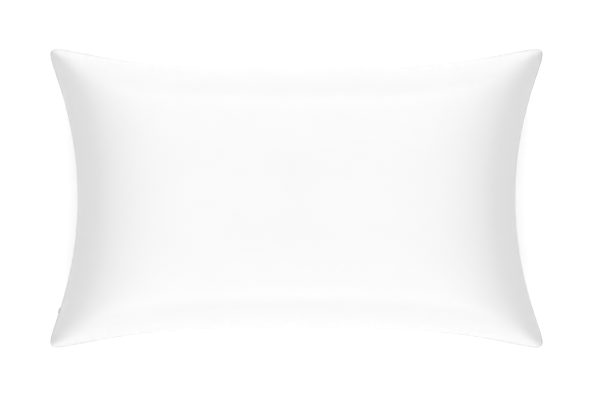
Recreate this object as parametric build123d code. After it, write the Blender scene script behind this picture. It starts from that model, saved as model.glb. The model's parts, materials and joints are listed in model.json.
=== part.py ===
from build123d import *
import os
from dataclasses import dataclass
from functools import cache
from math import cos, degrees, radians, sin, sqrt

# A bed pillow lying flat: a fibre-filled ticking inside a satin case that closes with a concealed zip
# along its left end. +X runs along the pillow, +Y across it and +Z up. The origin is on the bed, under
# the middle of the pillow. All lengths are in millimetres and all angles in degrees.

# The filled case. Its rounded corners are 790 apart along X and 479 apart along Y.
CASE_LENGTH = 820.0  # between the points where the sides would meet if the corners weren't rounded
CASE_WIDTH = 506.0
END_DRAW = 59.5  # how far the filling draws the middle of each short end in
SIDE_DRAW = 44.8  # how far it draws the middle of each long side in
SIDE_FLARE = 3.2  # power by which a long side leaves its straight middle for the corners
CORNER_POWER = 14  # a higher power gives a sharper corner
SEAM_HEIGHT = 88.0  # the plane of the seams above the bed
CROWN_RISE = 100.0  # the crown above the plane of the seams
BELLY_DROP = 94.0  # the belly's depth below it, before the bed flattens the lowest 6 mm
RIM_ANGLE = 72.0  # how far round the crown's profile goes before the seam stops it
GRID = 40  # spans along each side of a surface's net of points
SURFACE_TOLERANCE = 0.02

# Cloth
CASE_CLOTH = 0.8
TICKING_CLOTH = 0.8
HEEL = 1.7  # how far in, in thicknesses, a panel's inner face starts where it leans over its seam
ALLOWANCE = 8.0  # width of the seam allowance turned in at each seam
THREAD_INSET = 5.0  # from the seam's edge to its row of thread
THREAD = 0.5
TICKING_END_GAP = 14.0  # from the case's seam to the ticking's at the short ends
TICKING_SIDE_GAP = 9.0
CLOTH_GAP = 0.8  # between case and ticking at the crown and the belly
FILL_GAP = 0.5

# The zip, which follows the arc of the left end. Depths run inwards from the lips and heights run up
# from the plane of the seams.
ZIP_SPAN = 20.0  # half of the angle over which the lips are open
TAPE_SPAN = 19.7  # half of the angle that the tapes cover
CHAIN_SPAN = 19.2  # half of the angle that the coils cover
LIP_GAP = 1.7
PROUD = 2.0  # how far a cutting section stands out past what it cuts
HEM_FOOT = 0.5  # depth at which the turned-in hem leaves the lip
HEM_HEIGHT = 0.6  # height at which it does, within the seam allowance that it joins at its ends
HEM_DEPTH = 12.0
TAPE_DEPTH = 6.3
TAPE = 0.5
TAPE_END = 12.2  # depth of the tape's far edge
COIL_WIDTH = 1.8
COIL_THICKNESS = 1.75
COIL_CORNER = 0.6
CHAIN_GAP = 1.2  # between the two coils, where the slider's post runs
FIT = 0.05  # between pieces that lie against each other
RUNNING = 0.3  # between the slider and what it runs past
STOP_SPAN = 0.25

# Slider and pull
PLATE = 0.8
SLIDER_HALF = 3.3  # half of the plates' height
SLIDER_LENGTH = 9.0
NECK_LENGTH = 5.0
NECK = 0.6
CROWN_DEPTH = 2.3
CROWN_HALF = 1.15
PIN_RADIUS = 0.6
PIN_CLEARANCE = 0.08
PULL_THICKNESS = 1.0
PULL_WIDTH = 7.6
PULL_DROP = 24.0  # from the pin to the tab's lower end
WINDOW_DROP = 4.0  # from the pin to the lower edge of the window that clears the crown
ARM_TOP = 1.0
EYE_RADIUS = 1.4
PARKED = -18.6  # where the slider stands round the arc with the zip closed

# Labels
LABEL_SPAN = 1.4  # half of the angle that a label covers round its end
LABEL_CLOTH = 0.4
LABEL_LENGTH = 24.0
LABEL_SLOPE = 62.0

# What follows from them
HALF_LENGTH = CASE_LENGTH / 2 - END_DRAW  # from the middle to a short end's drawn-in middle
END_RADIUS = (CASE_WIDTH / 2) ** 2 / (2 * END_DRAW) + END_DRAW / 2
ARC_CENTRE = HALF_LENGTH + END_RADIUS
RIM_LEVEL = cos(radians(RIM_ANGLE)) * sqrt(1 + sin(radians(RIM_ANGLE)) ** 2)
ZIP_AXIS = Axis((-ARC_CENTRE, 0, 0), (0, 0, 1))
PIN_DEPTH = -RUNNING - CROWN_DEPTH / 2
HUGE = 2000.0


@dataclass(frozen=True)
class Layer:
    """How far a surface lies inside the case's own outer surface."""

    end: float = 0.0
    side: float = 0.0
    loft: float = 0.0

    def inside(self, gap, heel=1.0):
        """The layer that is this much further in, and heel times as much round its rim."""
        return Layer(self.end + heel * gap, self.side + heel * gap, self.loft + gap)


CASE = Layer()
TICKING = Layer(TICKING_END_GAP, TICKING_SIDE_GAP, CASE_CLOTH + CLOTH_GAP)
FILL = TICKING.inside(TICKING_CLOTH + FILL_GAP, HEEL)


def profile(place):
    """Reach and rise, both 0 to 1 in size, at a place from -1 to 1 across the crown's profile.

    The profile is the flat-topped curve rise^2 + reach^4 = 1, stopped at the rim and stretched to fit."""
    angle = radians(place * RIM_ANGLE)
    reach = sin(angle) / sin(radians(RIM_ANGLE))
    rise = (cos(angle) * sqrt(1 + sin(angle) ** 2) - RIM_LEVEL) / (1 - RIM_LEVEL)
    return reach, rise


def half_length(layer, y):
    """Half of a layer's length at y, where each short end is an arc that bows inwards."""
    return ARC_CENTRE - sqrt((END_RADIUS + layer.end) ** 2 - y**2)


def half_width(layer, x):
    """Half of a layer's width at x, straight at the middle and flared to the corners."""
    drawn_in = SIDE_DRAW * (1 - abs(2 * x / CASE_LENGTH) ** SIDE_FLARE)
    return CASE_WIDTH / 2 - layer.side - drawn_in


def crossing(rise_x, rise_y):
    """The rise where two profiles cross. It keeps a slope into the corners, as their product wouldn't."""
    both = rise_x * rise_y
    return both / (rise_x + rise_y - both) if rise_x + rise_y > 0 else 0.0


def surface_point(layer, base, rise, along, across):
    """A point of the crown (rise above 0) or the belly (rise below 0), for places from -1 to 1."""
    reach_x, rise_x = profile(along)
    reach_y, rise_y = profile(across)
    corner_y = CASE_WIDTH / 2 - layer.side
    corner_x = half_length(layer, corner_y)
    x = reach_x * half_length(layer, reach_y * corner_y)
    y = reach_y * half_width(layer, reach_x * corner_x)
    end_flare = corner_y**2 / sqrt((END_RADIUS + layer.end) ** 2 - corner_y**2)
    corner = abs(reach_x * reach_y) ** CORNER_POWER / (2 * CORNER_POWER)
    x -= corner * (corner_x + end_flare) * (1 if along > 0 else -1)
    y -= corner * (corner_y + SIDE_FLARE * SIDE_DRAW) * (1 if across > 0 else -1)
    return x, y, base + rise * crossing(rise_x, rise_y)


@cache
def dome(layer, side, lift=0.0):
    """The solid between a layer's crown (side 1) or belly (side -1) and a base this far from the seams."""
    base = SEAM_HEIGHT + side * lift
    top = SEAM_HEIGHT + CROWN_RISE - layer.loft if side > 0 else SEAM_HEIGHT - BELLY_DROP + layer.loft
    places = [2 * i / GRID - 1 for i in range(GRID + 1)]
    points = [[surface_point(layer, base, top - base, u, v) for v in places] for u in places]
    skin = Face.make_surface_from_array_of_points(points, SURFACE_TOLERANCE, min_deg=3, max_deg=5)
    solid = Solid(Shell([skin, Face(Wire(skin.edges()))]))
    return solid if side > 0 else solid & above_bed(layer.loft)


def above_bed(level):
    """Everything above a level."""
    return Pos(0, 0, level) * Box(HUGE, HUGE, HUGE, align=(Align.CENTER, Align.CENTER, Align.MIN))


def seam_slice(layer, low, high):
    """A flat slice of a layer's outline between two heights from the plane of the seams."""
    rim = dome(layer, 1).faces().filter_by(Axis.Z).sort_by(Axis.Z)[0]
    return Pos(0, 0, low) * extrude(rim, high - low, dir=(0, 0, 1))


def panel(layer, cloth, side):
    """A crowned panel of cloth with its seam allowance turned in flat on the plane of the seams."""
    hollow = dome(layer.inside(cloth, HEEL), side, cloth)
    low, high = sorted((0.0, side * 2 * cloth))
    return dome(layer, side) - hollow - seam_slice(layer.inside(ALLOWANCE), low, high)


def seam_thread(layer, cloth):
    """The needle thread above a seam's two allowances and the bobbin thread below them."""
    rows = []
    for low in (cloth, -cloth - THREAD):
        outside = seam_slice(layer.inside(THREAD_INSET), low, low + THREAD)
        rows.append(outside - seam_slice(layer.inside(THREAD_INSET + THREAD), low, low + THREAD))
    return rows


def round_the_end(section, start, finish):
    """Sweeps a closed section of (depth, height) points round the left end's arc."""
    points = [(-HALF_LENGTH + depth, 0, SEAM_HEIGHT + height) for depth, height in section]
    face = Face(Wire.make_polygon(points, close=True))
    return revolve(face, ZIP_AXIS, finish - start).rotate(ZIP_AXIS, start)


def block(depths, heights):
    """A rectangular section."""
    (near, far), (low, high) = depths, heights
    return [(near, low), (far, low), (far, high), (near, high)]


def sloped_strip(foot, thickness, reach):
    """A section that climbs inwards at 45 degrees from its foot, with its thickness below the slope."""
    depth, height = foot
    wide = thickness * sqrt(2)
    far = [(depth + wide + reach, height + reach), (depth + reach, height + reach)]
    return [foot, (depth + wide, height), *far]


def flip(section, side):
    """The section for the front half of the zip (side 1) or the back half (side -1)."""
    return [(depth, side * height) for depth, height in section]


def case_panel(side):
    """The front (side 1) or back (side -1) of the case, with a hemmed lip along the zip."""
    hem = sloped_strip((HEM_FOOT, HEM_HEIGHT), CASE_CLOTH, HEM_DEPTH - HEM_FOOT)
    opening = block((-PROUD, ALLOWANCE + PROUD), (-LIP_GAP / 2, LIP_GAP / 2))
    hem_span = ZIP_SPAN + STOP_SPAN
    cloth = panel(CASE, CASE_CLOTH, side)
    cloth += round_the_end(flip(hem, side), -hem_span, hem_span) & dome(CASE, side)
    return cloth - round_the_end(opening, -ZIP_SPAN, ZIP_SPAN)


def zip_tape(side):
    """One tape: upright beside its coil, then laid along the inside of the lip's hem."""
    upper = HEM_FOOT - HEM_HEIGHT + (CASE_CLOTH + FIT) * sqrt(2)  # depth less height, on its outer face
    lower = upper + TAPE * sqrt(2)
    near, far = TAPE_DEPTH, TAPE_DEPTH + TAPE
    section = [
        (near, CHAIN_GAP / 2),
        (far, CHAIN_GAP / 2),
        (far, far - lower),
        (TAPE_END + TAPE / sqrt(2), TAPE_END + TAPE / sqrt(2) - lower),
        (TAPE_END, TAPE_END - upper),
        (near, near - upper),
    ]
    return round_the_end(flip(section, side), -TAPE_SPAN, TAPE_SPAN)


def tape_thread(side):
    """The row of thread that holds a tape to its hem, on the tape's inner face."""
    inner_face = HEM_FOOT - HEM_HEIGHT + (CASE_CLOTH + FIT + TAPE) * sqrt(2) + FIT
    depth = (TAPE_DEPTH + TAPE_END) / 2 + TAPE
    across = THREAD / sqrt(2)
    section = [
        (depth, depth - inner_face),
        (depth + across, depth + across - inner_face),
        (depth + 2 * across, depth - inner_face),
        (depth + across, depth - across - inner_face),
    ]
    return round_the_end(flip(section, side), -CHAIN_SPAN, CHAIN_SPAN)


def chain_block(start, finish, low, high):
    """A piece of the chain's thickness, between two angles and two heights."""
    near = TAPE_DEPTH + TAPE + FIT
    return round_the_end(block((near, near + COIL_THICKNESS), (low, high)), start, finish)


def zip_coil(side):
    """One coil, drawn as the smooth bar that its turns fill."""
    low = CHAIN_GAP / 2
    edges = [(low, low + COIL_WIDTH), (-low - COIL_WIDTH, -low)][side < 0]
    bar = chain_block(-CHAIN_SPAN, CHAIN_SPAN, *edges)
    long_edges = bar.edges().filter_by(GeomType.CIRCLE).sort_by(Edge.length)[-4:]
    return fillet(long_edges, COIL_CORNER)


def zip_stops():
    """The two top stops beyond the closed end, and the bottom stop that joins the coils at the other."""
    low, high = CHAIN_GAP / 2, CHAIN_GAP / 2 + COIL_WIDTH
    start = -CHAIN_SPAN - STOP_SPAN
    top = [chain_block(start, -CHAIN_SPAN, low, high), chain_block(start, -CHAIN_SPAN, -high, -low)]
    return top, chain_block(CHAIN_SPAN, CHAIN_SPAN + STOP_SPAN, -high, high)


def at_slider(part):
    """Turns a piece drawn at the middle of the end to the slider's parked place."""
    return part.rotate(ZIP_AXIS, PARKED)


def slider_block(length, depths, heights):
    """A block of the slider, curved with the arc it runs on."""
    half = degrees(length / 2 / END_RADIUS)
    return round_the_end(block(depths, heights), -half, half)


def pin_rod(radius, length):
    """A rod along the zip, centred on the pull's pin."""
    return Pos(-HALF_LENGTH + PIN_DEPTH, 0, SEAM_HEIGHT) * Rot(90, 0, 0) * Cylinder(radius, length)


def zip_slider():
    """Two plates on a post, with a neck out between the lips to the crown that holds the pull's pin."""
    outer_face = TAPE_DEPTH - RUNNING
    inner_face = TAPE_DEPTH + TAPE + FIT + COIL_THICKNESS + RUNNING
    tall = (-SLIDER_HALF, SLIDER_HALF)
    slider = slider_block(SLIDER_LENGTH, (outer_face - PLATE, outer_face), tall)
    slider += slider_block(SLIDER_LENGTH, (inner_face, inner_face + PLATE), tall)
    slider += slider_block(NECK_LENGTH, (-RUNNING - FIT, inner_face + FIT), (-NECK / 2, NECK / 2))
    slider += slider_block(NECK_LENGTH, (-RUNNING - CROWN_DEPTH, -RUNNING), (-CROWN_HALF, CROWN_HALF))
    flange = (CHAIN_GAP / 2 + COIL_WIDTH + RUNNING, SLIDER_HALF)
    for side in (1, -1):
        heights = sorted(side * height for height in flange)
        slider += slider_block(SLIDER_LENGTH, (TAPE_DEPTH + TAPE + RUNNING, inner_face + FIT), heights)
    return at_slider(slider - pin_rod(PIN_RADIUS + PIN_CLEARANCE, 2 * NECK_LENGTH))


def zip_pull():
    """A flat tab that hangs from a pin through the slider's crown."""
    half = PULL_WIDTH / 2
    outline = Pos(0, (ARM_TOP - PULL_DROP) / 2) * Rectangle(PULL_WIDTH, PULL_DROP + ARM_TOP)
    outline = fillet(outline.vertices().group_by(Axis.Y)[0], half - FIT)
    outline = fillet(outline.vertices().group_by(Axis.Y)[-1], ARM_TOP)
    window = NECK_LENGTH + 2 * RUNNING
    outline -= Pos(0, (ARM_TOP + FIT - WINDOW_DROP) / 2) * Rectangle(window, WINDOW_DROP + ARM_TOP + FIT)
    outline -= Pos(0, half - PULL_DROP) * Circle(EYE_RADIUS)
    face_out = Plane((-HALF_LENGTH + PIN_DEPTH, 0, SEAM_HEIGHT), x_dir=(0, 1, 0), z_dir=(1, 0, 0))
    tab = extrude(face_out * outline, PULL_THICKNESS / 2, both=True)
    return at_slider(tab + pin_rod(PIN_RADIUS, window + PULL_THICKNESS))


def label(foot, centre):
    """A ribbon label sewn in at the right end, standing up between the ticking and the case."""
    depth, height = foot
    inward, upward = cos(radians(LABEL_SLOPE)), sin(radians(LABEL_SLOPE))
    across = (LABEL_CLOTH * upward, -LABEL_CLOTH * inward)
    along = (LABEL_LENGTH * inward, LABEL_LENGTH * upward)
    section = [
        foot,
        (depth + across[0], height + across[1]),
        (depth + across[0] + along[0], height + across[1] + along[1]),
        (depth + along[0], height + along[1]),
    ]
    return round_the_end(section, centre - LABEL_SPAN, centre + LABEL_SPAN).rotate(Axis.Z, 180)


def fibre_fill():
    """The filling, in one mass, with a groove round it for the ticking's seam allowance."""
    groove = TICKING_CLOTH + THREAD + FILL_GAP
    core = seam_slice(TICKING.inside(ALLOWANCE + FILL_GAP), -groove, groove)
    return dome(FILL, 1, groove) + core + dome(FILL, -1, groove)


def build():
    """Every piece by its name."""
    top_stops, bottom_stop = zip_stops()
    unsewn = block((-PROUD, ALLOWANCE + PROUD), (-SLIDER_HALF, SLIDER_HALF))
    zip_clearance = round_the_end(unsewn, -ZIP_SPAN, ZIP_SPAN)
    beside_thread = (THREAD_INSET + 2 * THREAD, CASE_CLOTH + LABEL_CLOTH)
    beside_ticking = (TICKING_END_GAP - LABEL_CLOTH, LABEL_CLOTH)
    return {
        "case_front_panel": case_panel(1),
        "case_back_panel": case_panel(-1),
        "case_seam_thread": [row - zip_clearance for row in seam_thread(CASE, CASE_CLOTH)],
        "case_care_label": label(beside_thread, 6.0),
        "zip_tape_front": zip_tape(1),
        "zip_tape_back": zip_tape(-1),
        "zip_tape_thread_front": tape_thread(1),
        "zip_tape_thread_back": tape_thread(-1),
        "zip_coil_front": zip_coil(1),
        "zip_coil_back": zip_coil(-1),
        "zip_top_stops": top_stops,
        "zip_bottom_stop": bottom_stop,
        "zip_slider": zip_slider(),
        "zip_pull": zip_pull(),
        "ticking_front_panel": panel(TICKING, TICKING_CLOTH, 1),
        "ticking_back_panel": panel(TICKING, TICKING_CLOTH, -1),
        "ticking_seam_thread": seam_thread(TICKING, TICKING_CLOTH),
        "ticking_care_label": label(beside_ticking, 0.0),
        "fibre_fill": fibre_fill(),
    }


def solids_of(piece):
    """The solids of a piece, or of each piece in a list."""
    group = piece if isinstance(piece, list) else [piece]
    return [solid for one in group for solid in one.solids()]


if __name__ == "__main__":
    os.makedirs("parts", exist_ok=True)
    for name, piece in build().items():
        solids = solids_of(piece)
        shape = solids[0] if len(solids) == 1 else Compound(children=solids)
        export_step(shape, f"parts/{name}.step")
        size = shape.bounding_box().size
        print(f"{name}: {len(solids)} solids, {size.X:.1f} x {size.Y:.1f} x {size.Z:.1f} mm")
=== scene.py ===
import json
from math import cos, pi, radians, sin, sqrt
import bpy
import numpy as np
from bpy.props import FloatProperty, FloatVectorProperty, IntProperty, PointerProperty
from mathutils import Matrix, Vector, noise


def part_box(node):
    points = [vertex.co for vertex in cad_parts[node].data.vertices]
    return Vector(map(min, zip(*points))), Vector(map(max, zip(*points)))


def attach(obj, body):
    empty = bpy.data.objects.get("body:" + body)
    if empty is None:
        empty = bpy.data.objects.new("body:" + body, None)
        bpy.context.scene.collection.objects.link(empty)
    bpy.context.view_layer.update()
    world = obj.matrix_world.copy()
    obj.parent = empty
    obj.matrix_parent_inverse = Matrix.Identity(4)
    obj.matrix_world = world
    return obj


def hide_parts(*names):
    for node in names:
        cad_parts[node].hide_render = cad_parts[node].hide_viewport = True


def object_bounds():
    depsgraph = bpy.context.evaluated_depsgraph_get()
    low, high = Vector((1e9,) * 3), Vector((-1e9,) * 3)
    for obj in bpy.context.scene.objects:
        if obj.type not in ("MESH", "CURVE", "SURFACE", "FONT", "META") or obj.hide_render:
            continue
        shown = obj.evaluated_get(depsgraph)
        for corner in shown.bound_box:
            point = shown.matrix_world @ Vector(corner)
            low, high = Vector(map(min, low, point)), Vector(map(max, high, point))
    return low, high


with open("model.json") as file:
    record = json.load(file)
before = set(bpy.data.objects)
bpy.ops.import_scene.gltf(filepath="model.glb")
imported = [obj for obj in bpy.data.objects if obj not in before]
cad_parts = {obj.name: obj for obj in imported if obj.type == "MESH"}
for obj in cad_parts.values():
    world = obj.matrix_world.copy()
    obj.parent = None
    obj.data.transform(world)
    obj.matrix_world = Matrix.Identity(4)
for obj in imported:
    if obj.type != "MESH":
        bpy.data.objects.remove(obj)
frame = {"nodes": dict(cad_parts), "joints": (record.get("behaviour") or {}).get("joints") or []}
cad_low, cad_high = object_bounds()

bl_info = {
    "name": "Bed Pillow",
    "version": (1, 0, 0),
    "blender": (4, 5, 0),
    "location": "3D View > Sidebar > Pillow",
    "description": "Makes a filled bed pillow in a satin case with a concealed zip",
    "category": "Object",
}

JOINTS = {joint["name"]: joint for joint in frame["joints"]}
ARC_CENTRE = -JOINTS["zip_travel"]["pos_m"][0]  # from the middle of the pillow to the end arcs' centres
SEAM_HEIGHT = JOINTS["zip_travel"]["pos_m"][2]
CROWN_RISE = cad_high.z - SEAM_HEIGHT
FRONT, BACK = 1, -1

# fixed measures, in metres unless a note says otherwise
FOLD_DEPTHS = (0.0006, 0.0025)  # of the first rings inside a sewn edge
FOLD_SHARES = (0.15, 0.4)  # of the cloth's thickness left at the edge and at its first ring
INNER_RING = 0.008  # depth of the outline that every ring is measured towards
LIP_BLEND = (0.008, 0.022)  # radians past the lips' span in which they close into the seam
ALLOWANCE_ROOM = 0.0042  # height that the turned-in allowance needs inside a panel
ROOM_PER_CELL = 0.85  # how fast that room opens with each of the net's cells from the rim
ROOM_SOFTNESS = 0.0004
BED_SOFTNESS = 0.0015  # height in which the belly eases into the flat where it lies
TICKING_GAP = 0.003  # between the crowns of the case and the ticking
FIBRE_GAP = 0.0035  # between the crowns of the ticking and the fibre
FIBRE_SHARE = (0.972, 0.955)  # of the ticking's plan, clear of its turned-in allowance
RIBBON = 0.0003  # thickness of a label
LABEL_BOW = 0.0006
LABEL_FILL = 0.98  # of the CAD label's width and height
FLOOR_DROP = 0.0002  # keeps the floor's face off the pillow's
SIDE_LAMP_REACH = 2.6
SIDE_LAMP_SIZE = (2.6, 1.2)
END_LAMP_PLACE = (2.0, 1.7)  # out and up
END_LAMP_SIZE = (1.2, 2.0)


# ---------------------------------------------------------------- sizes and colours


def plain(name, description, default, **kind):
    return FloatProperty(name=name, description=description, default=default, **kind)


def metres(name, description, default):
    return plain(name, description, default, unit="LENGTH")


def degrees(name, description, default):
    return plain(name, description, radians(default), subtype="ANGLE")


def watts(name, description, default):
    return plain(name, description, default, unit="POWER")


def colour(name, description, default):
    return FloatVectorProperty(
        name=name, description=description, default=default, subtype="COLOR", min=0, max=1
    )


class PillowSizes(bpy.types.PropertyGroup):
    """The outline that the filled case takes up."""

    length: metres("Length", "Between the points where the sides would meet without rounded corners", 0.820)
    width: metres("Width", "The same, across the pillow", 0.506)
    end_draw: metres("End draw", "How far the filling draws the middle of each short end in", 0.0595)
    side_draw: metres("Side draw", "How far the filling draws the middle of each long side in", 0.0448)
    side_flare: plain("Side flare", "Power by which a long side flares to its corners", 3.2)
    corner_power: plain("Corner power", "A higher power gives a sharper corner", 14.0)
    rim_angle: degrees("Rim angle", "How far round the starting profile goes before the seam stops it", 72)
    belly_drop: metres("Belly drop", "Depth of the belly under the seams before the bed flattens it", 0.094)
    fullness: plain("Fullness", "Power by which the filling packs the shoulders out", 1.6)


class ClothSizes(bpy.types.PropertyGroup):
    """How the case is cut, blown up and finished."""

    cut_length: metres("Cut length", "Length of each flat panel", 0.80)
    cut_width: metres("Cut width", "Width of each flat panel", 0.50)
    cell: metres("Cell", "Spacing of the cloth's points", 0.00625)
    pressure: plain("Pressure", "How hard the filling presses on the cloth", 4.0)
    stretch: plain("Stretch stiffness", "How little the satin stretches", 40.0)
    bending: plain("Bending stiffness", "How little it creases", 0.5)
    frames: IntProperty(name="Frames", description="Steps for which the cloth is simulated", default=16)
    satin: metres("Satin", "Thickness of the satin", 0.0005)
    cotton: metres("Cotton", "Thickness of the ticking", 0.0005)
    allowance: metres("Allowance", "Width of the seam allowance turned in", 0.008)
    seam_gap: metres("Seam gap", "Half of the line between two panels", 0.00006)
    satin_colour: colour("Satin colour", "Colour of the satin", (0.85, 0.85, 0.85))
    cotton_colour: colour("Cotton colour", "Colour of the ticking", (0.80, 0.79, 0.76))


class ZipSizes(bpy.types.PropertyGroup):
    """The concealed zip in the left end. Depths run inwards from the lips."""

    span: degrees("Span", "Half of the angle that the lips are open over", 20)
    chain_span: degrees("Chain span", "Half of the angle that the coils cover", 19.2)
    lip_gap: metres("Lip gap", "Between the two lips", 0.0010)
    hem_offset: metres("Hem offset", "Depth less height along the face of the hem under the tape", 0.00103)
    hem_depth: metres("Hem depth", "Depth of the hem's raw edge", 0.0126)
    coil_pitch: metres("Coil pitch", "Between the coil's turns", 0.0011)
    wire: metres("Wire", "Radius of the coil's filament", 0.00027)


class StitchSizes(bpy.types.PropertyGroup):
    """The rows of sewing."""

    length: metres("Stitch length", "Length of one stitch", 0.0026)
    gap: metres("Gap", "Between two stitches", 0.0005)
    radius: metres("Radius", "Radius of the thread", 0.00022)
    inset: metres("Inset", "From the seam's edge to its thread", 0.00525)


class StageSizes(bpy.types.PropertyGroup):
    """The floor, the lamps and the camera."""

    floor: metres("Floor", "Side of the floor", 40.0)
    view_width: metres("View width", "Width that the picture covers at the seams", 0.961)
    aim_x: metres("Aim X", "Where the camera is centred", 0.0056)
    aim_y: metres("Aim Y", "Where the camera is centred", -0.0029)
    lens: plain("Lens", "Focal length in millimetres", 135.0)
    low_power: watts("Low power", "Power of each low side lamp", 10.2)
    middle_power: watts("Middle power", "Power of each middle side lamp", 28.2)
    high_power: watts("High power", "Power of each high side lamp", 18.1)
    end_power: watts("End power", "Power of each end lamp", 4.6)
    room: plain("Room", "Brightness of the room's own light", 0.06)


def settings(name):
    """One of this file's groups of settings, as it stands in the scene."""
    return getattr(bpy.context.scene, f"pillow_{name}")


# ---------------------------------------------------------------- node kit


def filled_node(tree, kind, options=(), values=()):
    """A new node with its options set and its sockets filled with values or links."""
    made = tree.nodes.new(kind)
    for option, value in dict(options).items():
        setattr(made, option, value)
    for key, value in values.items() if isinstance(values, dict) else enumerate(values):
        socket = made.inputs[key]
        if isinstance(value, Socket):
            value = value.output
        if isinstance(value, bpy.types.NodeSocket):
            tree.links.new(value, socket)
        elif socket.type == "RGBA" and len(value) == 3:
            socket.default_value = (*value, 1.0)
        else:
            socket.default_value = value
    return made


class Socket:
    """A value in a shader. Python's operators on it add Math nodes."""

    def __init__(self, shader, output):
        self.shader = shader
        self.output = output

    def math(self, operation, *values):
        return self.shader.node("ShaderNodeMath", {"operation": operation}, values)

    def __add__(self, other):
        return self.math("ADD", self, other)

    def __sub__(self, other):
        return self.math("SUBTRACT", self, other)

    def __rsub__(self, other):
        return self.math("SUBTRACT", other, self)

    def __mul__(self, other):
        return self.math("MULTIPLY", self, other)

    __radd__ = __add__
    __rmul__ = __mul__

    def __truediv__(self, other):
        return self.math("DIVIDE", self, other)

    def __pow__(self, other):
        return self.math("POWER", self, other)

    def __abs__(self):
        return self.math("ABSOLUTE", self)

    def wave(self, spacing):
        """A sine that repeats at this spacing."""
        return self.math("SINE", self * (2 * pi / spacing))

    def least(self, other):
        return self.math("MINIMUM", self, other)

    def most(self, other):
        return self.math("MAXIMUM", self, other)

    def fade(self, low, high):
        """0 below low and 1 above high, smooth in between."""
        stops = {"Value": self, "From Min": low, "From Max": high}
        return self.shader.node("ShaderNodeMapRange", {"interpolation_type": "SMOOTHSTEP"}, stops)


class Shader:
    """Builds one material."""

    def __init__(self, name):
        self.material = bpy.data.materials.get(name) or bpy.data.materials.new(name)
        self.material.use_nodes = True
        self.tree = self.material.node_tree
        self.tree.nodes.clear()

    def node(self, kind, options=(), values=(), output=0):
        """Adds a node and gives one of its outputs."""
        made = filled_node(self.tree, kind, options, values)
        return Socket(self, made.outputs[output]) if made.outputs else None

    def split(self, vector):
        """The three parts of a vector."""
        return [self.node("ShaderNodeSeparateXYZ", {}, [vector], axis) for axis in range(3)]

    def join(self, x, y, z=0.0):
        return self.node("ShaderNodeCombineXYZ", {}, [x, y, z])

    def cloth_place(self):
        """The place on the flat cloth, in metres."""
        return self.node("ShaderNodeUVMap", {"uv_map": "cut"})

    def solid_place(self):
        return self.node("ShaderNodeTexCoord", output="Object")

    def cloud(self, place, scale, detail=3.0, roughness=0.5):
        """Noise from 0 to 1."""
        values = {"Vector": place, "Scale": scale, "Detail": detail, "Roughness": roughness}
        return self.node("ShaderNodeTexNoise", {"noise_dimensions": "3D"}, values)

    def stretched(self, place, along, across, scale, detail=2.0):
        """Noise whose grain is along times as long one way and across times as long the other."""
        x, y, z = self.split(place)
        return self.cloud(self.join(x / along, y / across, z), scale, detail)

    def weave(self, place, warp, weft):
        """Threads that cross on the flat cloth at these spacings."""
        along, across, _ = self.split(place)
        return abs(along.wave(warp)) * 0.5 + abs(across.wave(weft)) * 0.5

    def blend(self, amount, first, second):
        """A colour between two."""
        options = {"data_type": "RGBA"}
        return self.node("ShaderNodeMix", options, {0: amount, 6: first, 7: second}, output=2)

    def bump(self, height, distance, strength=1.0, normal=None):
        values = {"Strength": strength, "Distance": distance, "Height": height}
        if normal:
            values["Normal"] = normal
        return self.node("ShaderNodeBump", {}, values)

    def finish(self, **sockets):
        """Ends the material in a Principled surface. Underscores in the names stand for spaces."""
        values = {name.replace("_", " "): value for name, value in sockets.items()}
        surface = self.node("ShaderNodeBsdfPrincipled", {}, values)
        self.node("ShaderNodeOutputMaterial", {}, {"Surface": surface})
        return self.material


def darker(colour, share):
    return tuple(part * share for part in colour)


def satin_material():
    """Warp-faced satin: long glossy floats along the cloth, and small tucks where it is sewn."""
    s = Shader("white_satin")
    colour = tuple(settings("cloth").satin_colour)
    cut_length, cut_width = settings("cloth").cut_length, settings("cloth").cut_width
    place = s.cloth_place()
    along, across, _ = s.split(place)
    floats = s.stretched(place, 14.0, 1.0, 5200.0)
    slubs = s.stretched(place, 40.0, 1.0, 420.0)
    handling = s.cloud(place, 14.0, 2.0)
    to_side = cut_width / 2 - abs(across)
    to_end = cut_length / 2 - abs(along)
    near_seam = 1 - to_side.least(to_end).fade(0.0, 0.026)
    side_tucks = s.stretched(place, 1.0, 7.0, 80.0, 1.0)
    end_tucks = s.stretched(place, 7.0, 1.0, 80.0, 1.0)
    at_end = (to_side - to_end).fade(-0.01, 0.01)
    tucks = at_end * end_tucks + (1 - at_end) * side_tucks
    normal = s.bump(tucks * near_seam, 0.0026)
    normal = s.bump(slubs, 0.00004, 0.5, normal)
    normal = s.bump(floats, 0.00003, 0.35, normal)
    shade = (slubs * 0.3 + handling * 0.4 + floats * 0.3).fade(0.2, 0.8)
    return s.finish(
        Base_Color=s.blend(shade, darker(colour, 0.985), colour),
        Roughness=0.36 + (slubs - 0.5) * 0.10 + (handling - 0.5) * 0.06,
        Normal=normal,
        Specular_IOR_Level=0.45,
        Anisotropic=0.45,
        Sheen_Weight=0.12,
        Sheen_Roughness=0.4,
    )


def cotton_material():
    """Plain-woven down-proof cotton with a slight fleck."""
    s = Shader("ticking_cotton")
    colour = tuple(settings("cloth").cotton_colour)
    place = s.cloth_place()
    weave = s.weave(place, 0.0006, 0.0006)
    fleck = s.cloud(place, 900.0, 3.0)
    creases = s.cloud(place, 30.0, 4.0)
    normal = s.bump(creases, 0.0012, 0.6)
    normal = s.bump(weave, 0.0001, 0.6, normal)
    return s.finish(
        Base_Color=s.blend(fleck.fade(0.35, 0.7), darker(colour, 0.9), colour),
        Roughness=0.82 + (fleck - 0.5) * 0.12,
        Normal=normal,
        Sheen_Weight=0.2,
    )


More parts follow.
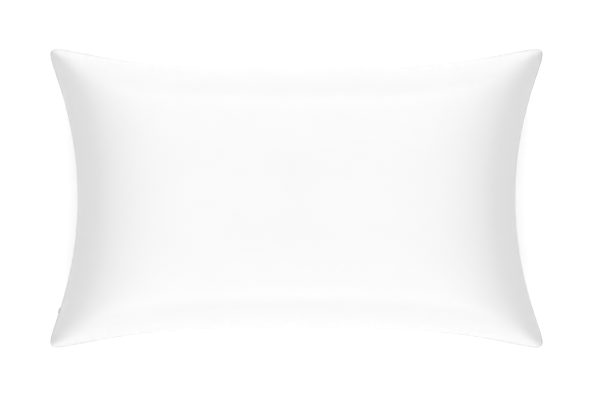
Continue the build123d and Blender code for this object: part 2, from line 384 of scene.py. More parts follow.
def fibre_material():
    """Carded polyester: fine curled strands, painted lighter where they stand up and with painted shade in
    the hollows between them.
    """
    s = Shader("polyester_fibre")
    place = s.solid_place()
    drift = s.cloud(place, 30.0, 3.0)
    strands = s.stretched(place, 6.0, 1.0, 900.0, 4.0)
    crossed = s.stretched(place, 1.0, 7.0, 760.0, 4.0)
    heap = (strands.most(crossed) * 0.7 + drift * 0.3).fade(0.3, 0.8)
    return s.finish(
        # painted light and shade: the colour follows the strands' height, lighter on top and darker in the
        # hollows
        Base_Color=s.blend(heap, (0.74, 0.74, 0.73), (0.93, 0.93, 0.92)),
        Roughness=0.75 + heap * 0.2,
        Normal=s.bump(heap, 0.0015),
        Sheen_Weight=0.35,
    )


def thread_material():
    """Twisted polyester thread, with painted shade in the grooves of its twist."""
    s = Shader("sewing_thread")
    place = s.solid_place()
    x, y, z = s.split(place)
    twist = (x + y + z * 1.7).wave(0.0007)
    fuzz = s.cloud(place, 2500.0, 2.0)
    return s.finish(
        # painted shade: the colour follows the twist's ridges, lighter on them and darker in its grooves
        Base_Color=s.blend(twist.fade(-1.0, 1.0), (0.74, 0.74, 0.74), (0.87, 0.87, 0.87)),
        Roughness=0.5 + fuzz * 0.2,
        Normal=s.bump(twist + fuzz, 0.00006),
    )


def tape_material():
    """Knitted polyester zip tape, ribbed along its length."""
    s = Shader("zip_tape")
    place = s.solid_place()
    _, _, z = s.split(place)
    ribs = abs(z.wave(0.0008))
    knit = s.cloud(place, 1800.0, 2.0)
    return s.finish(
        Base_Color=s.blend(knit.fade(0.3, 0.7), (0.72, 0.72, 0.72), (0.84, 0.84, 0.84)),
        Roughness=0.7 + knit * 0.15,
        Normal=s.bump(ribs * 0.6 + knit * 0.4, 0.00012),
    )


def coil_material():
    """Drawn nylon filament, slightly milky."""
    s = Shader("nylon_coil")
    milk = s.cloud(s.solid_place(), 600.0, 2.0)
    return s.finish(
        Base_Color=s.blend(milk, (0.78, 0.78, 0.77), (0.88, 0.88, 0.87)),
        Roughness=0.28 + milk * 0.1,
        Normal=s.bump(milk, 0.00003),
        Coat_Weight=0.2,
    )


def enamel_material():
    """White enamel on die-cast zinc, worn a little in scattered scuffs."""
    s = Shader("zip_enamel")
    place = s.solid_place()
    peel = s.cloud(place, 700.0, 3.0)
    scuffs = s.cloud(place, 2600.0, 4.0, 0.65).fade(0.66, 0.74)
    return s.finish(
        Base_Color=s.blend(scuffs * 0.4, (0.82, 0.82, 0.82), (0.55, 0.55, 0.56)),
        Roughness=0.24 + peel * 0.1 + scuffs * 0.25,
        Normal=s.bump(peel - scuffs * 0.5, 0.00004),
        Coat_Weight=0.35,
    )


def ribbon_material():
    """Woven satin ribbon for the labels, blank."""
    s = Shader("label_ribbon")
    place = s.cloth_place()
    weave = s.weave(place, 0.0005, 0.0004)
    fleck = s.cloud(place, 1500.0, 2.0)
    return s.finish(
        Base_Color=s.blend(fleck, (0.80, 0.80, 0.78), (0.88, 0.88, 0.86)),
        Roughness=0.45 + fleck * 0.15,
        Normal=s.bump(weave, 0.00008),
        Sheen_Weight=0.1,
    )


def floor_material():
    """A pale floor that glows a little under the pillow and more far away, so that it is pale all over."""
    s = Shader("pale_floor")
    place = s.solid_place()
    x, y, _ = s.split(place)
    far = ((x * x + y * y) ** 0.5).fade(1.2, 3.5)
    mottle = s.cloud(place, 6.0, 2.0)
    return s.finish(
        Base_Color=s.blend(mottle, (0.90, 0.90, 0.90), (0.92, 0.92, 0.92)),
        Roughness=0.6 + mottle * 0.05,
        Emission_Color=s.blend(far, (0.22, 0.22, 0.22), (0.80, 0.80, 0.80)),
        Emission_Strength=1.0,
    )


# ---------------------------------------------------------------- shapes


def profile(place):
    """Reach and rise, from 0 to 1, at places from -1 to 1 across the starting crown."""
    rim = settings("sizes").rim_angle
    level = cos(rim) * sqrt(1 + sin(rim) ** 2)
    angle = place * rim
    rise = (np.cos(angle) * np.sqrt(1 + np.sin(angle) ** 2) - level) / (1 - level)
    return np.sin(angle) / sin(rim), rise


def end_radius(depth=0.0):
    """Radius of the short ends' arcs at a depth inside the rim."""
    size = settings("sizes")
    return ARC_CENTRE - (size.length / 2 - size.end_draw) + depth


def outline(reach_x, reach_y, inset=0.0):
    """The places in plan at these reaches, for a rim that lies this far inside the case's."""
    size, radius = settings("sizes"), end_radius(inset)
    corner_y = size.width / 2 - inset
    corner_x = ARC_CENTRE - sqrt(radius**2 - corner_y**2)
    end = ARC_CENTRE - np.sqrt(radius**2 - (reach_y * corner_y) ** 2)
    flare = np.abs(2 * reach_x * corner_x / size.length) ** size.side_flare
    side = corner_y - size.side_draw * (1 - flare)
    end_slope = corner_y**2 / sqrt(radius**2 - corner_y**2)
    corner = np.abs(reach_x * reach_y) ** size.corner_power / (2 * size.corner_power)
    x = reach_x * end - np.sign(reach_x) * corner * (corner_x + end_slope)
    y = reach_y * side - np.sign(reach_y) * corner * (corner_y + size.side_flare * size.side_draw)
    return x, y


def crossing(rise_x, rise_y):
    """The rise where two profiles cross."""
    both = rise_x * rise_y
    total = rise_x + rise_y - both
    return np.where(total > 1e-9, both / np.maximum(total, 1e-9), 0.0)


def evenly(curve, count):
    """Places from -1 to 1 that divide a curve into equal lengths."""
    place = np.linspace(-1, 1, 2001)
    steps = np.sqrt(sum(np.diff(part) ** 2 for part in curve(place)))
    run = np.concatenate([[0.0], np.cumsum(steps)])
    return np.interp(np.linspace(0, run[-1], count + 1), run, place)


class Crown:
    """The case as a net of points: its flat cut, and how the filling first blows it up."""

    def __init__(self):
        cloth = settings("cloth")
        self.across_x = round(cloth.cut_length / cloth.cell)
        self.across_y = round(cloth.cut_width / cloth.cell)
        flat_x = np.linspace(-1, 1, self.across_x + 1)[:, None]
        flat_y = np.linspace(-1, 1, self.across_y + 1)[None, :]
        place_x = self.places(0, self.across_x, flat_y)
        place_y = self.places(1, self.across_y, flat_x)
        self.reach_x, rise_x = profile(place_x)
        self.reach_y, rise_y = profile(place_y)
        x, y = outline(self.reach_x, self.reach_y)
        self.rise = crossing(rise_x, rise_y)
        self.plan = np.stack([x, y], -1)
        cut_x, cut_y = flat_x * cloth.cut_length / 2, flat_y * cloth.cut_width / 2
        self.cut = np.stack(np.broadcast_arrays(cut_x, cut_y), -1)

    def places(self, axis, count, other):
        """Places along one axis: by the middle profile's length inside, by the rim's length at the rim."""

        def crown(place):
            reach, rise = profile(place)
            still = np.zeros_like(reach)
            x, y = outline(reach, still) if axis == 0 else outline(still, reach)
            return x, y, rise * CROWN_RISE

        def rim(place):
            reach, _ = profile(place)
            edge = np.ones_like(reach)
            return outline(reach, edge) if axis == 0 else outline(edge, reach)

        inside, at_rim = evenly(crown, count), evenly(rim, count)
        weight = np.abs(other) ** 3
        if axis == 0:
            return inside[:, None] * (1 - weight) + at_rim[:, None] * weight
        return inside[None, :] * (1 - weight) + at_rim[None, :] * weight

    def net(self, heights):
        """Points for heights over the seams."""
        return np.concatenate([self.plan, heights[..., None]], -1)


def mesh_object(name, points, faces):
    """A new object at the origin with this mesh."""
    mesh = bpy.data.meshes.new(name)
    points = np.asarray(points, float).reshape(-1, 3).tolist()
    mesh.from_pydata(points, [], [list(map(int, face)) for face in faces])
    mesh.update()
    made = bpy.data.objects.new(name, mesh)
    bpy.context.scene.collection.objects.link(made)
    return made


def evaluated_points(made):
    """Every point of an object's mesh with its modifiers."""
    graph = bpy.context.evaluated_depsgraph_get()
    mesh = made.evaluated_get(graph).to_mesh()
    points = np.zeros(len(mesh.vertices) * 3, np.float32)
    mesh.vertices.foreach_get("co", points)
    return points.reshape(-1, 3).astype(float)


def numbered(net):
    """The numbers of a net's points."""
    return np.arange(net.shape[0] * net.shape[1]).reshape(net.shape[:2])


def grid_faces(number):
    """The faces of a net whose points have these numbers."""
    return np.stack([number[:-1, :-1], number[1:, :-1], number[1:, 1:], number[:-1, 1:]], -1).reshape(-1, 4)


def joined(front, back):
    """Two nets joined along their rims: points, faces, and which places of a net lie inside its rim."""
    inside = np.zeros(front.shape[:2], bool)
    inside[1:-1, 1:-1] = True
    upper = numbered(front)
    lower = upper.copy()
    lower[inside] = inside.size + np.arange(inside.sum())
    faces = np.concatenate([grid_faces(upper), grid_faces(lower)[:, ::-1]])
    return np.concatenate([front.reshape(-1, 3), back[inside]]), faces, inside


def blown_up(crown):
    """Both panels of the case blown up from their flat cut as cloth, held along the seam."""
    cloth = settings("cloth")
    front = crown.net(crown.rise * CROWN_RISE)
    back = crown.net(-crown.rise * settings("sizes").belly_drop)
    points, faces, inside = joined(front, back)
    bag = mesh_object("bag", points, faces)
    flat = np.concatenate([crown.cut, np.zeros_like(crown.cut[..., :1])], -1)
    bag.shape_key_add(name="blown")
    cut_key = bag.shape_key_add(name="cut")
    cut_key.data.foreach_set("co", joined(flat, flat)[0].astype(np.float32).ravel())
    seam = bag.vertex_groups.new(name="seam")
    seam.add([int(n) for n in np.flatnonzero(~inside)], 1.0, "REPLACE")

    modifier = bag.modifiers.new("Cloth", "CLOTH")
    sheet = modifier.settings
    sheet.quality = 8
    sheet.mass = 0.15
    sheet.tension_stiffness = sheet.compression_stiffness = cloth.stretch
    sheet.shear_stiffness = 2.0
    sheet.bending_stiffness = cloth.bending
    sheet.tension_damping = sheet.compression_damping = sheet.shear_damping = 5.0
    sheet.bending_damping = 0.5
    sheet.air_damping = 2.0
    sheet.use_pressure = True
    sheet.uniform_pressure_force = cloth.pressure
    sheet.effector_weights.gravity = 0.0
    sheet.rest_shape_key = cut_key
    sheet.vertex_group_mass = seam.name
    modifier.collision_settings.use_collision = False
    modifier.point_cache.frame_end = cloth.frames
    for step in range(1, cloth.frames + 1):
        bpy.context.scene.frame_set(step)
    settled = evaluated_points(bag)
    bpy.data.objects.remove(bag)
    bpy.context.scene.frame_set(1)
    front = settled[: inside.size].reshape(front.shape)
    back = front.copy()
    back[inside] = settled[inside.size :]
    return front, back


def rested(front, back):
    """The two panels at their real loft, over their seam allowances and flattened by the bed."""
    size = settings("sizes")
    front_share = np.clip(front[..., 2] / front[..., 2].max(), 0, 1)
    back_share = np.clip(back[..., 2] / back[..., 2].min(), 0, 1)
    front_rise = over_allowance(CROWN_RISE * (1 - (1 - front_share) ** size.fullness))
    back_drop = over_allowance(size.belly_drop * (1 - (1 - back_share) ** size.fullness))
    front, back = front.copy(), back.copy()
    front[..., 2] = SEAM_HEIGHT + front_rise
    back[..., 2] = at_least(SEAM_HEIGHT - back_drop, 0.0, BED_SOFTNESS)
    return front, back


def at_least(value, least, softness):
    """The larger of two values, with a rounded change between them."""
    return least + softness * np.logaddexp(0.0, (value - least) / softness)


def over_allowance(height):
    """Heights over the seams that leave room for the turned-in allowance and its thread."""
    columns, rows = (np.arange(count) for count in height.shape)
    to_end = np.minimum(columns, columns[::-1])[:, None]
    to_side = np.minimum(rows, rows[::-1])[None, :]
    cells_in = np.minimum(to_end, to_side)
    room = ALLOWANCE_ROOM * (1 - np.exp(-ROOM_PER_CELL * cells_in))
    return at_least(height, room, ROOM_SOFTNESS)


def rim_of(net):
    """The points round a net, anticlockwise from its low corner."""
    return np.concatenate([net[:-1, 0], net[-1, :-1], net[:0:-1, -1], net[0, :0:-1]])


def smooth_step(value, low, high):
    share = np.clip((value - low) / (high - low), 0, 1)
    return share * share * (3 - 2 * share)


def lip_share(reach_x, plan):
    """1 where the rim is a lip of the zip, 0 where it is sewn, for the rim's places."""
    begin, end = (settings("zip").span + past for past in LIP_BLEND)
    angle = np.abs(np.arctan2(plan[:, 1], plan[:, 0] + ARC_CENTRE))
    return np.where(reach_x < -0.9999, 1 - smooth_step(angle, begin, end), 0.0)


def ring_sizes():
    """The rings inside the rim as pairs of depth and height over the seams: where sewn, and where hemmed."""
    cloth, zip_size = settings("cloth"), settings("zip")
    sewn = [(depth, cloth.seam_gap) for depth in (0.0, *FOLD_DEPTHS)]
    sewn += [(cloth.allowance * share, cloth.seam_gap) for share in (0.65, 1.0)]
    lip = zip_size.lip_gap / 2
    hem_start = lip + zip_size.hem_offset
    hemmed = [(0.0, lip), (hem_start, lip)]
    for share in (0.25, 0.6, 1.0):
        depth = hem_start + share * (zip_size.hem_depth - hem_start)
        hemmed.append((depth, depth - zip_size.hem_offset))
    return zip(sewn, hemmed)


def panel_object(name, crown, net, side, shrink, thickness, material, with_zip):
    """One panel as a shell of cloth: its net, then the rings of allowance or hem turned in round it."""
    cloth = settings("cloth")
    step = (crown.reach_x.shape[0] - 1) // (net.shape[0] - 1)
    reach_x = rim_of(crown.reach_x[::step, ::step])
    reach_y = rim_of(crown.reach_y[::step, ::step])
    cut = crown.cut[::step, ::step]
    number = numbered(net)
    rim_number, rim_cut = rim_of(number), rim_of(cut)
    points, places = [net.reshape(-1, 3)], [cut.reshape(-1, 2)]
    plan = np.stack(outline(reach_x, reach_y), -1)
    lips = lip_share(reach_x, plan) if with_zip else np.zeros(len(plan))
    outward = rim_cut / (np.array([cloth.cut_length, cloth.cut_width]) / 2)
    outward = np.where(np.abs(outward) > 0.999, np.sign(outward), 0.0)

    rings = []
    for (sewn_depth, sewn_height), (hem_depth, hem_height) in ring_sizes():
        depth = sewn_depth * (1 - lips) + hem_depth * lips
        height = sewn_height * (1 - lips) + hem_height * lips
        x, y = ring_plan(reach_x, reach_y, depth).T
        ring = np.stack([x * shrink[0], y * shrink[1], SEAM_HEIGHT + side * height], -1)
        if not rings:
            points[0][rim_number] = ring
            rings.append(rim_number)
            continue
        start = sum(len(part) for part in points)
        points.append(ring)
        places.append(rim_cut + outward * depth[:, None])
        rings.append(start + np.arange(len(ring)))

    faces = [grid_faces(number)]
    for outer, inner in zip(rings, rings[1:]):
        faces.append(np.stack([outer, inner, np.roll(inner, -1), np.roll(outer, -1)], -1))
    faces = np.concatenate(faces)[:, ::side]  # the back's corners run the other way round
    made = mesh_object(name, np.concatenate(points), faces)
    lay_cut(made, np.concatenate(places))
    crease(made, rings[0], 1.0)
    crease(made, rings[1], 0.6)
    made.data.materials.append(material)
    rounded(made)
    thicken = made.modifiers.new("Thickness", "SOLIDIFY")
    thicken.thickness = thickness
    thicken.offset = -1.0
    cloth_share = made.vertex_groups.new(name="cloth")
    cloth_share.add(range(len(made.data.vertices)), 1.0, "REPLACE")
    for ring, share in zip(rings, FOLD_SHARES):
        cloth_share.add([int(point) for point in ring], share, "REPLACE")
    thicken.vertex_group = cloth_share.name  # pressed thin at the fold, so that its two layers don't cross
    return made


def ring_plan(reach_x, reach_y, depth):
    """The plan of a ring inside the rim whose depth changes round it."""
    outer = np.stack(outline(reach_x, reach_y), -1)
    inner = np.stack(outline(reach_x, reach_y, INNER_RING), -1)
    return outer + (inner - outer) * (depth / INNER_RING)[:, None]


def lay_cut(made, places):
    """Gives a mesh its place on the flat cloth as a UV map, in metres."""
    layer = made.data.uv_layers.new(name="cut")
    corners = np.zeros(len(made.data.loops), np.int32)
    made.data.loops.foreach_get("vertex_index", corners)
    layer.data.foreach_set("uv", places[corners].astype(np.float32).ravel())


def crease(made, ring, weight):
    """Keeps the fold along a closed ring of points sharp."""
    pairs = {frozenset((int(a), int(b))) for a, b in zip(ring, np.roll(ring, -1))}
    attributes = made.data.attributes
    layer = attributes.get("crease_edge") or attributes.new("crease_edge", "FLOAT", "EDGE")
    for edge in made.data.edges:
        if frozenset(edge.vertices) in pairs:
            layer.data[edge.index].value = weight


def smooth(mesh):
    for face in mesh.polygons:
        face.use_smooth = True


def rounded(made):
    """Smooths a net and divides it once more."""
    smooth(made.data)
    subdivide = made.modifiers.new("Subdivision", "SUBSURF")
    subdivide.levels = subdivide.render_levels = 1


# ---------------------------------------------------------------- rows of stitches and coils


class Tree:
    """Builds one Geometry Nodes tree and its inputs."""

    def __init__(self, name):
        self.tree = bpy.data.node_groups.new(name, "GeometryNodeTree")
        self.tree.interface.new_socket("Geometry", in_out="OUTPUT", socket_type="NodeSocketGeometry")
        self.tree.interface.new_socket("Line", in_out="INPUT", socket_type="NodeSocketGeometry")
        self.start = self.tree.nodes.new("NodeGroupInput")
        self.end = self.tree.nodes.new("NodeGroupOutput")
        self.names = {}

    def number(self, name, kind="NodeSocketFloat"):
        """A named input for a size."""
        socket = self.tree.interface.new_socket(name, in_out="INPUT", socket_type=kind)
        self.names[name] = socket.identifier
        return self.start.outputs[name]

    def node(self, kind, options=(), values=(), output=0):
        return filled_node(self.tree, kind, options, values).outputs[output]

    def maths(self, operation, *values):
        return self.node("ShaderNodeMath", {"operation": operation}, list(values))

    def finish(self, geometry, material):
        """Ends in real geometry with its material."""
        real = self.node("GeometryNodeRealizeInstances", {}, [geometry])
        painted = self.node("GeometryNodeSetMaterial", {}, {"Geometry": real, "Material": material})
        self.tree.links.new(painted, self.end.inputs[0])
        return self


def stitch_tree(material):
    """Stitches laid end to end along a line: short tubes with rounded, sunken ends."""
    t = Tree("stitch_row")
    length, gap, radius = t.number("Stitch length"), t.number("Gap"), t.number("Radius")
    pitch = t.maths("ADD", length, gap)
    row = {"Curve": t.start.outputs["Line"], "Length": pitch}
    spots = filled_node(t.tree, "GeometryNodeCurveToPoints", {"mode": "LENGTH"}, row).outputs
    grain = t.node("GeometryNodeMeshUVSphere", {}, {"Segments": 6, "Rings": 5, "Radius": 1.0})
    half = t.maths("MULTIPLY", length, 0.5)
    size = t.node("ShaderNodeCombineXYZ", {}, [radius, radius, half])
    laid = t.node(
        "GeometryNodeInstanceOnPoints",
        {},
        {"Points": spots["Points"], "Instance": grain, "Rotation": spots["Rotation"], "Scale": size},
    )
    return t.finish(laid, material)


def coil_tree(material):
    """A filament wound in flattened turns round a line."""
    t = Tree("zip_coil")
    pitch, wire = t.number("Pitch"), t.number("Wire")
    half_depth, half_height = t.number("Half depth"), t.number("Half height")
    steps = 10  # points in each turn
    line = t.start.outputs["Line"]
    whole = t.node("GeometryNodeCurveLength", {}, [line])
    count = t.maths("MULTIPLY", t.maths("DIVIDE", whole, pitch), float(steps))
    fine = t.node("GeometryNodeResampleCurve", {}, {"Curve": line, "Count": count})
    turn = t.maths("MULTIPLY", t.node("GeometryNodeInputIndex"), 2 * pi / steps)
    tangent = t.node("GeometryNodeInputTangent")
    up = (0.0, 0.0, 1.0)
    inward = t.node("ShaderNodeVectorMath", {"operation": "CROSS_PRODUCT"}, [tangent, up])
    sideways = t.node(
        "ShaderNodeVectorMath",
        {"operation": "SCALE"},
        {0: inward, "Scale": t.maths("MULTIPLY", t.maths("COSINE", turn), half_depth)},
    )
    rise = t.maths("MULTIPLY", t.maths("SINE", turn), half_height)
    offset = t.node(
        "ShaderNodeVectorMath",
        {"operation": "ADD"},
        [sideways, t.node("ShaderNodeCombineXYZ", {}, {2: rise})],
    )
    wound = t.node("GeometryNodeSetPosition", {}, {"Geometry": fine, "Offset": offset})
    ring = t.node("GeometryNodeCurvePrimitiveCircle", {}, {"Resolution": 5, "Radius": wire})
    tube = t.node("GeometryNodeCurveToMesh", {}, {"Curve": wound, "Profile Curve": ring, "Fill Caps": True})
    smooth = t.node("GeometryNodeSetShadeSmooth", {}, [tube])
    return t.finish(smooth, material)


def along_line(name, lines, tree, sizes):
    """Runs a tree along one or more open lines of points, and gives the plain mesh that it makes."""
    curve = bpy.data.curves.new(name + "_line", "CURVE")
    curve.dimensions = "3D"
    for points in lines:
        spline = curve.splines.new("POLY")
        spline.points.add(len(points) - 1)
        spline.points.foreach_set("co", np.column_stack([points, np.ones(len(points))]).ravel())
    guide = bpy.data.objects.new(name + "_line", curve)
    bpy.context.scene.collection.objects.link(guide)
    modifier = guide.modifiers.new("Nodes", "NODES")
    modifier.node_group = tree.tree
    for label, value in sizes.items():
        modifier[tree.names[label]] = value
    graph = bpy.context.evaluated_depsgraph_get()
    mesh = bpy.data.meshes.new_from_object(guide.evaluated_get(graph), depsgraph=graph)
    mesh.name = name
    bpy.data.objects.remove(guide)
    made = bpy.data.objects.new(name, mesh)
    bpy.context.scene.collection.objects.link(made)
    smooth(mesh)
    return made


def end_arc(depth, height, span, count=240):
    """Points along the left end's arc at a depth inside the lips and a height over the seams."""
    angle = np.linspace(-span, span, count)
    x = -ARC_CENTRE + end_radius(depth) * np.cos(angle)
    return np.stack([x, end_radius(depth) * np.sin(angle), np.full(count, SEAM_HEIGHT + height)], -1)


def depths_of(node):
    """The least and greatest depth of a CAD node inside the lips."""
    points = frame["nodes"][node].data.vertices
    depths = [Vector((v.co.x + ARC_CENTRE, v.co.y)).length - end_radius() for v in points]
    return min(depths), max(depths)


def ticking_scale():
    """How much smaller than the case the ticking is, along and across."""
    case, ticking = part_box("case_front_panel")[1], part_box("ticking_front_panel")[1]
    return ticking.x / case.x, ticking.y / case.y


def place_on(made, body, slot, *nodes):
    """Rides a piece on its body, in place of its CAD nodes."""
    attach(made, body)
    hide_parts(*nodes)
    return made


# ---------------------------------------------------------------- operators


class PILLOW_OT_case(bpy.types.Operator):
    """Cut, blow up and finish the satin case, and keep its shape for the insert."""

    bl_idname = "pillow.case"
    bl_label = "Satin Case"
    bl_options = {"REGISTER", "UNDO"}

    def execute(self, context):
        crown = Crown()
        front, back = rested(*blown_up(crown))
        satin = satin_material()
        thickness = settings("cloth").satin
        for name, net, side in (("case_front", front, FRONT), ("case_back", back, BACK)):
            made = panel_object(name, crown, net.copy(), side, (1, 1), thickness, satin, True)
            place_on(made, "pillow", "case_satin", f"{name}_panel")
        made_shapes.update(crown=crown, front=front, back=back)
        return {"FINISHED"}


class PILLOW_OT_insert(bpy.types.Operator):
    """Make the ticking and the fibre inside it, a little smaller than the case."""

    bl_idname = "pillow.insert"
    bl_label = "Ticking and Fibre"
    bl_options = {"REGISTER", "UNDO"}

    def execute(self, context):
        crown, thickness = made_shapes["crown"], settings("cloth").cotton
        cotton = cotton_material()
        shrink = ticking_scale()
        loft = (CROWN_RISE - TICKING_GAP) / CROWN_RISE
        for side, word in ((FRONT, "front"), (BACK, "back")):
            net = self.coarse(word) * [*shrink, loft] + [0, 0, SEAM_HEIGHT]
            name = f"ticking_{word}"
            made = panel_object(name, crown, net, side, shrink, thickness, cotton, False)
            place_on(made, "pillow", "ticking_cotton", f"{name}_panel")
        place_on(self.fibre(shrink, loft), "pillow", "fibre", "fibre_fill")
        return {"FINISHED"}

    def coarse(self, word):
        """Every second point of one of the case's panels, measured from the seams."""
        return made_shapes[word][::2, ::2] - [0, 0, SEAM_HEIGHT]

    def fibre(self, shrink, loft):
        """The filling: the insert's shape drawn in a little, with its surface in soft clumps."""
        points, faces, _ = joined(self.coarse("front"), self.coarse("back"))
        shares = [shrink[0] * FIBRE_SHARE[0], shrink[1] * FIBRE_SHARE[1], loft - FIBRE_GAP / CROWN_RISE]
        points = points * shares + [0, 0, SEAM_HEIGHT]
        clump = np.array([noise.fractal(Vector(p) * 38, 0.6, 2.1, 4) for p in points])
        toward = points - [0, 0, SEAM_HEIGHT]
        toward /= np.maximum(np.linalg.norm(toward, axis=1, keepdims=True), 1e-6)
        points += toward * (np.clip(clump, -1, 0.2) * 0.003 - 0.0006)[:, None]
        made = mesh_object("fibre", points, faces)
        made.data.materials.append(fibre_material())
        rounded(made)
        return made


class PILLOW_OT_stitching(bpy.types.Operator):
    """Sew the seams of the case and the ticking, and the zip's tapes to their hems."""

    bl_idname = "pillow.stitching"
    bl_label = "Stitching"
    bl_options = {"REGISTER", "UNDO"}

    def execute(self, context):
        size = settings("stitches")
        tree = stitch_tree(thread_material())
        sizes = {"Stitch length": size.length, "Gap": size.gap, "Radius": size.radius}
        crown, cloth = made_shapes["crown"], settings("cloth")
        reach_x, reach_y = rim_of(crown.reach_x), rim_of(crown.reach_y)
        rim = ring_plan(reach_x, reach_y, np.full(len(reach_x), size.inset))
        lift = cloth.seam_gap + cloth.satin + size.radius
        sewn = lip_share(reach_x, rim) <= 0
        start = int(np.argmax(sewn & ~np.roll(sewn, 1)))
        order = np.roll(np.arange(len(rim)), -start)
        case_row = rim[order][sewn[order]]
        ticking_row = np.concatenate([rim, rim[:1]]) * ticking_scale()
        for name, row in (("case_seam", case_row), ("ticking_seam", ticking_row)):
            heights = [np.full(len(row), SEAM_HEIGHT + side * lift) for side in (FRONT, BACK)]
            rows = [np.column_stack([row, height]) for height in heights]
            made = along_line(name, rows, tree, sizes)
            place_on(made, "pillow", "sewing_thread", f"{name}_thread")
        for side in ("front", "back"):
            node = f"zip_tape_thread_{side}"
            low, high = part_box(node)
            height = (low.z + high.z) / 2 - SEAM_HEIGHT
            line = end_arc(sum(depths_of(node)) / 2, height, settings("zip").chain_span)
            made = along_line(f"zip_tape_seam_{side}", [line], tree, sizes)
            place_on(made, "pillow", "sewing_thread", node)
        return {"FINISHED"}


class PILLOW_OT_zip(bpy.types.Operator):
    """Wind the zip's coils and finish its tapes, stops, slider and pull."""

    bl_idname = "pillow.zip"
    bl_label = "Zip"
    bl_options = {"REGISTER", "UNDO"}

    def execute(self, context):
        size = settings("zip")
        tree = coil_tree(coil_material())
        near, far = depths_of("zip_coil_front")
        for side in ("front", "back"):
            low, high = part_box(f"zip_coil_{side}")
            middle = (low.z + high.z) / 2 - SEAM_HEIGHT
            sizes = {
                "Pitch": size.coil_pitch,
                "Wire": size.wire,
                "Half depth": (far - near) / 2 - size.wire,
                "Half height": (high.z - low.z) / 2 - size.wire,
            }
            line = end_arc((near + far) / 2, middle, size.chain_span)
            made = along_line(f"zip_coil_turns_{side}", [line], tree, sizes)
            place_on(made, "pillow", "zip_coil", f"zip_coil_{side}")
        self.paint(tape_material(), "zip_tape_front", "zip_tape_back")
        self.paint(enamel_material(), "zip_top_stops", "zip_bottom_stop", "zip_slider", "zip_pull")
        return {"FINISHED"}

    def paint(self, material, *nodes):
        """Gives carried-over CAD nodes their material."""
        for node in nodes:
            slots = frame["nodes"][node].data.materials
            slots.clear()
            slots.append(material)


class PILLOW_OT_labels(bpy.types.Operator):
    """Make the two blank care labels."""

    bl_idname = "pillow.labels"
    bl_label = "Care Labels"
    bl_options = {"REGISTER", "UNDO"}

    def execute(self, context):
        ribbon = ribbon_material()
        for owner in ("case", "ticking"):
            node = f"{owner}_care_label"
            made = self.label(f"{owner}_label", node)
            made.data.materials.append(ribbon)
            place_on(made, "pillow", "label_ribbon", node)
        return {"FINISHED"}

    def label(self, name, node):
        """A ribbon that stands up from the seam with a slight roll to its free end."""
        low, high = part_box(node)
        across = np.linspace(0, 1, 19)[:, None]
        up = np.linspace(0, 1, 15)[None, :]
        y = low.y + (high.y - low.y) * (across * LABEL_FILL + (1 - LABEL_FILL) / 2)
        bow = LABEL_BOW * np.sin(pi * across) * up
        x = high.x - RIBBON - (high.x - low.x - 2 * RIBBON) * up - bow
        z = low.z + (high.z - low.z) * (up * LABEL_FILL + (1 - LABEL_FILL) / 2)
        x, y, z = np.broadcast_arrays(x, y, z)
        made = mesh_object(name, np.stack([x, y, z], -1), grid_faces(numbered(x)))
        lay_cut(made, np.stack([y - low.y, z - low.z], -1).reshape(-1, 2))
        thicken = made.modifiers.new("Thickness", "SOLIDIFY")
        thicken.thickness = RIBBON
        thicken.offset = 0.0
        smooth(made.data)
        return made


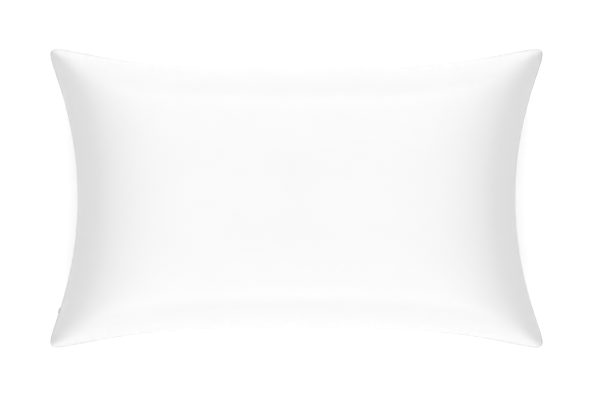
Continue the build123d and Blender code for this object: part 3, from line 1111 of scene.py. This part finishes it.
class PILLOW_OT_stage(bpy.types.Operator):
    """Set up the floor, the lamps and the camera."""

    bl_idname = "pillow.stage"
    bl_label = "Stage"
    bl_options = {"REGISTER", "UNDO"}

    def execute(self, context):
        size = settings("stage")
        half = size.floor / 2
        corners = ((-half, -half), (half, -half), (half, half), (-half, half))
        floor = mesh_object("floor", [(x, y, -FLOOR_DROP) for x, y in corners], [(0, 1, 2, 3)])
        floor.data.materials.append(floor_material())
        for tilt, power in ((12, size.low_power), (40, size.middle_power), (72, size.high_power)):
            for sign, word in ((1, "far"), (-1, "near")):
                out, up = cos(radians(tilt)) * SIDE_LAMP_REACH, sin(radians(tilt)) * SIDE_LAMP_REACH
                self.lamp(f"side_lamp_{tilt}_{word}", Vector((0, sign * out, up)), SIDE_LAMP_SIZE, power)
        for sign, word in ((1, "right"), (-1, "left")):
            out, up = END_LAMP_PLACE
            self.lamp(f"end_lamp_{word}", Vector((sign * out, 0, up)), END_LAMP_SIZE, size.end_power)
        world = bpy.data.worlds.new("studio")
        world.use_nodes = True
        world.node_tree.nodes["Background"].inputs["Color"].default_value = (1, 1, 1, 1)
        world.node_tree.nodes["Background"].inputs["Strength"].default_value = size.room
        context.scene.world = world
        context.scene.view_settings.view_transform = "Standard"

        camera = bpy.data.cameras.new("camera")
        camera.lens = size.lens
        camera.sensor_width = 36.0
        made = bpy.data.objects.new("camera", camera)
        height = size.view_width * camera.lens / camera.sensor_width
        made.location = (size.aim_x, size.aim_y, SEAM_HEIGHT + height)
        context.scene.collection.objects.link(made)
        context.scene.camera = made
        return {"FINISHED"}

    def lamp(self, name, place, size, power):
        """A soft lamp that faces the pillow."""
        data = bpy.data.lights.new(name, "AREA")
        data.shape = "RECTANGLE"
        data.size, data.size_y = size
        data.energy = power
        made = bpy.data.objects.new(name, data)
        made.location = place
        made.rotation_euler = (Vector((0, 0, SEAM_HEIGHT)) - place).to_track_quat("-Z", "Y").to_euler()
        bpy.context.scene.collection.objects.link(made)


class PILLOW_PT_panel(bpy.types.Panel):
    """Lists the steps that make the pillow."""

    bl_idname = "PILLOW_PT_panel"
    bl_label = "Bed Pillow"
    bl_space_type = "VIEW_3D"
    bl_region_type = "UI"
    bl_category = "Pillow"

    def draw(self, context):
        for operator in OPERATORS:
            self.layout.operator(operator.bl_idname)
        for name, group in GROUPS.items():
            box = self.layout.box()
            box.label(text=group.__doc__)
            values = settings(name)
            for prop in group.__annotations__:
                box.prop(values, prop)


OPERATORS = (
    PILLOW_OT_case,
    PILLOW_OT_insert,
    PILLOW_OT_stitching,
    PILLOW_OT_zip,
    PILLOW_OT_labels,
    PILLOW_OT_stage,
)
GROUPS = {
    "sizes": PillowSizes,
    "cloth": ClothSizes,
    "zip": ZipSizes,
    "stitches": StitchSizes,
    "stage": StageSizes,
}
made_shapes = {}  # the case's net and its two settled panels, for the operators that follow


def register():
    for group in GROUPS.values():
        bpy.utils.register_class(group)
    for name, group in GROUPS.items():
        setattr(bpy.types.Scene, f"pillow_{name}", PointerProperty(type=group))
    for operator in OPERATORS:
        bpy.utils.register_class(operator)
    bpy.utils.register_class(PILLOW_PT_panel)


def unregister():
    bpy.utils.unregister_class(PILLOW_PT_panel)
    for operator in reversed(OPERATORS):
        bpy.utils.unregister_class(operator)
    for name, group in GROUPS.items():
        delattr(bpy.types.Scene, f"pillow_{name}")
        bpy.utils.unregister_class(group)


def main():
    """Makes the whole pillow."""
    register()
    bpy.ops.pillow.case()
    bpy.ops.pillow.insert()
    bpy.ops.pillow.stitching()
    bpy.ops.pillow.zip()
    bpy.ops.pillow.labels()
    bpy.ops.pillow.stage()


if __name__ == "__main__":
    main()
